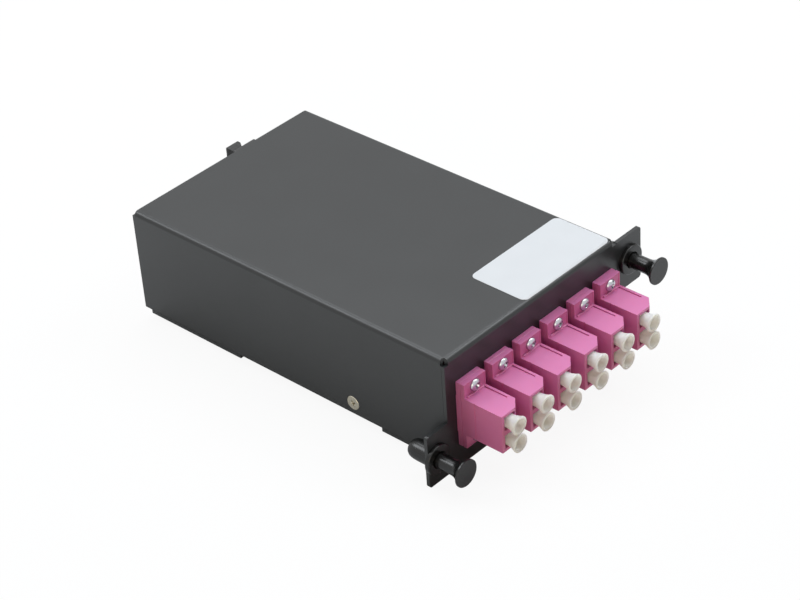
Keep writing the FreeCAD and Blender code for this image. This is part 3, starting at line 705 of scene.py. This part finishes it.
# Satin polyester film: a smooth, slightly grey white, a little flatter than paper.
white_film, tree = new_finish("satin_polyester_film_white")
place = add_node(tree, "ShaderNodeTexCoord").outputs["Object"]
cloud = add_node(tree, "ShaderNodeTexNoise", {"Scale": 1 / film_cloud},
                 {"Vector": place}).outputs["Fac"]
film = add_node(tree, "ShaderNodeBsdfPrincipled", {"IOR": 1.5, "Roughness": 0.42},
                {"Base Color": two_tones(tree, cloud, "d6d8da", "dcdee0")})
add_node(tree, "ShaderNodeOutputMaterial", None, {"Surface": film.outputs["BSDF"]})
sticker = block(((low.x + high.x) / 2, (low.y + high.y) / 2, low.z + film_thickness / 2),
                (high.x - low.x, high.y - low.y, film_thickness))
sticker.name = "blank_sticker"
bevel_edges(sticker, film_corner, film_corner_segments,
            lambda start, end: abs(start.z - end.z) > film_thickness / 2)
bpy.ops.object.mode_set(mode="EDIT")
for number in range(1, film_strips):
    bpy.ops.mesh.select_all(action="SELECT")
    bpy.ops.mesh.bisect(plane_co=(low.x + (high.x - low.x) * number / film_strips, 0, 0),
                        plane_no=(1, 0, 0))
for fold in film_lift_folds:
    bpy.ops.mesh.select_all(action="SELECT")
    bpy.ops.mesh.bisect(plane_co=(0, low.y + film_lift_reach * fold, 0), plane_no=(0, 1, 0))
bpy.ops.object.mode_set(mode="OBJECT")
flat_end_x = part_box("cover_screws")[1].x - bend_outside
flat_end_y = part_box("top_cover")[0].y + bend_outside
for corner in sticker.data.vertices:
    near_edge = max(0.0, 1 - (corner.co.y - low.y) / film_lift_reach)
    wave = 0.5 + 0.5 * math.sin(2 * math.pi * (corner.co.x - low.x) / film_wave)
    corner.co.z += film_lift * wave * near_edge ** 2
    corner.co += film_shift
    over_x = max(0.0, corner.co.x - flat_end_x) / bend_outside
    over_y = max(0.0, flat_end_y - corner.co.y) / bend_outside
    if over_x > 0:
        corner.co.x = flat_end_x + bend_outside * math.sin(over_x)
    if over_y > 0:
        corner.co.y = flat_end_y - bend_outside * math.sin(over_y)
    corner.co.z -= bend_outside * (2 - math.cos(over_x) - math.cos(over_y))
fit(sticker, white_film, "sticker", "cassette", "label")

# ---- Pieces inside the box
# Ceramic sleeves and ferrules, plugs, boots, fibre leads, the fan-out block and the ribbon
# keep their solids. They only need their finishes.

# Sintered zirconia is ground and polished, a creamy white. The plugs are satin resin, and the
# boots, jackets and fan-out block are duller, because they are soft or cast in rough tools.
inner_finishes = (
    ("sintered_zirconia", "ebe8df", "f1eee6", 0.12, ("lc_alignment_sleeves", "lc_ferrules")),
    ("moulded_plug_resin_violet", "c0689c", "c970a4", 0.42,
     ("lc_plugs", "mpo_plug_housing", "mpo_coupling_sleeve")),
    ("moulded_boot_elastomer_white", "e4e4df", "ecece8", 0.6,
     ("lc_boots", "mpo_boot")),
    ("extruded_lead_jacket_violet", "c4669a", "cf70a6", 0.5, ("fibre_leads", "ribbon_cable")),
    ("moulded_fan_out_resin_black", "19191a", "202021", 0.5, ("fanout_block",)),
    ("glass_filled_ferrule_resin", "252321", "2e2b28", 0.45, ("mpo_ferrule",)))
for name, dark, light, roughness, nodes in inner_finishes:
    finish, tree = new_finish(name)
    place = add_node(tree, "ShaderNodeTexCoord").outputs["Object"]
    grain = add_node(tree, "ShaderNodeTexNoise", {"Scale": 1 / moulded_grain},
                     {"Vector": place}).outputs["Fac"]
    resin = add_node(tree, "ShaderNodeBsdfPrincipled", {"Roughness": roughness},
                     {"Base Color": two_tones(tree, grain, dark, light)})
    add_node(tree, "ShaderNodeOutputMaterial", None, {"Surface": resin.outputs["BSDF"]})
    for node in nodes:
        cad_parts[node].data.materials.clear()
        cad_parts[node].data.materials.append(finish)

# ---- Floor, light and camera
# A white paper sweep under a cool overhead softbox. Two smaller ones run a line of light along
# the top bends of the box, and a weak warm one fills the sides that face the camera.

paper_size = 12
paper_shown = 0.92
room_strength = 0.15


def rays_that_see(tree):
    """Two sockets, for a backdrop that shows as plain white. The first is 1 for rays that come
    straight from the camera or through something clear, the second also for mirrored rays."""
    rays = add_node(tree, "ShaderNodeLightPath").outputs
    through = add_node(tree, "ShaderNodeMath", {"operation": "MAXIMUM"},
                       {0: rays["Is Camera Ray"], 1: rays["Is Transmission Ray"]}).outputs[0]
    seen = add_node(tree, "ShaderNodeMath", {"operation": "MAXIMUM"},
                    {0: through, 1: rays["Is Glossy Ray"]}).outputs[0]
    return through, seen


# Uncoated white paper: matt, and shown nearly white, so that only a soft shadow stays on it.
paper, tree = new_finish("white_paper_sweep")
through, seen = rays_that_see(tree)
share = add_node(tree, "ShaderNodeMath", {"operation": "MULTIPLY"}, {0: through})
share.inputs[1].default_value = paper_shown
bare = add_node(tree, "ShaderNodeBsdfDiffuse", None,
                {"Color": two_tones(tree, seen, "cfc2ae", "f8f8f8")})
white = add_node(tree, "ShaderNodeEmission", {"Color": (1, 1, 1, 1), "Strength": 1.0})
mix = add_node(tree, "ShaderNodeMixShader", None,
               {0: share.outputs[0], 1: bare.outputs[0], 2: white.outputs[0]})
add_node(tree, "ShaderNodeOutputMaterial", None, {"Surface": mix.outputs[0]})
deselect()
bpy.ops.mesh.primitive_plane_add(size=paper_size, location=(0, 0, cad_low.z))
floor = bpy.context.object
floor.name = "paper_floor"
floor.data.materials.append(paper)

world = bpy.data.worlds.new("studio_room")
bpy.context.scene.world = world
world.use_nodes = True
tree = world.node_tree
tree.nodes.clear()
seen = rays_that_see(tree)[1]
room = add_node(tree, "ShaderNodeBackground",
                {"Color": (0.95, 0.98, 1.0, 1), "Strength": room_strength})
open_white = add_node(tree, "ShaderNodeBackground", {"Color": (1, 1, 1, 1), "Strength": 1.0})
mix = add_node(tree, "ShaderNodeMixShader", None,
               {0: seen, 1: room.outputs[0], 2: open_white.outputs[0]})
add_node(tree, "ShaderNodeOutputWorld", None, {"Surface": mix.outputs[0]})

cool_white = (0.92, 0.96, 1.0)
warm_white = (1.0, 0.82, 0.6)
for name, place, width, watts, tint in (
        ("overhead_softbox", (0.32, 0.3, 1.25), 1.1, 12.5, cool_white),
        ("left_softbox", (-0.58, 0.92, 1.17), 0.6, 7, cool_white),
        ("front_softbox", (0.93, -0.59, 1.16), 0.6, 7, cool_white),
        ("warm_fill", (-1.2, -0.9, 0.2), 0.8, 4.5, warm_white)):
    deselect()
    bpy.ops.object.light_add(type="AREA", location=place)
    lamp = bpy.context.object
    lamp.name = name
    lamp.data.shape = "SQUARE"
    lamp.data.size = width
    lamp.data.energy = watts
    lamp.data.color = tint
    lamp.rotation_euler = (-Vector(place)).to_track_quat("-Z", "Y").to_euler()

# A long lens from the front left, 35 degrees above the floor.
lens = 108.345
sensor = 36.0
eye = Vector((-430.15, -433.84, 435.47)) * mm
view_right = Vector((0.66968, -0.74020, -0.06018))
view_up = Vector((0.45839, 0.34824, 0.81768))
view_back = Vector((-0.58429, -0.57518, 0.57251))
bpy.ops.object.camera_add(location=eye)
camera = bpy.context.object
camera.data.lens = lens
camera.data.sensor_width = sensor
camera.data.clip_start = 0.05
camera.data.clip_end = 20
turn = Matrix((view_right, view_up, view_back)).transposed().to_4x4()
camera.matrix_world = Matrix.Translation(eye) @ turn
bpy.context.scene.camera = camera
bpy.context.scene.view_settings.view_transform = "Standard"
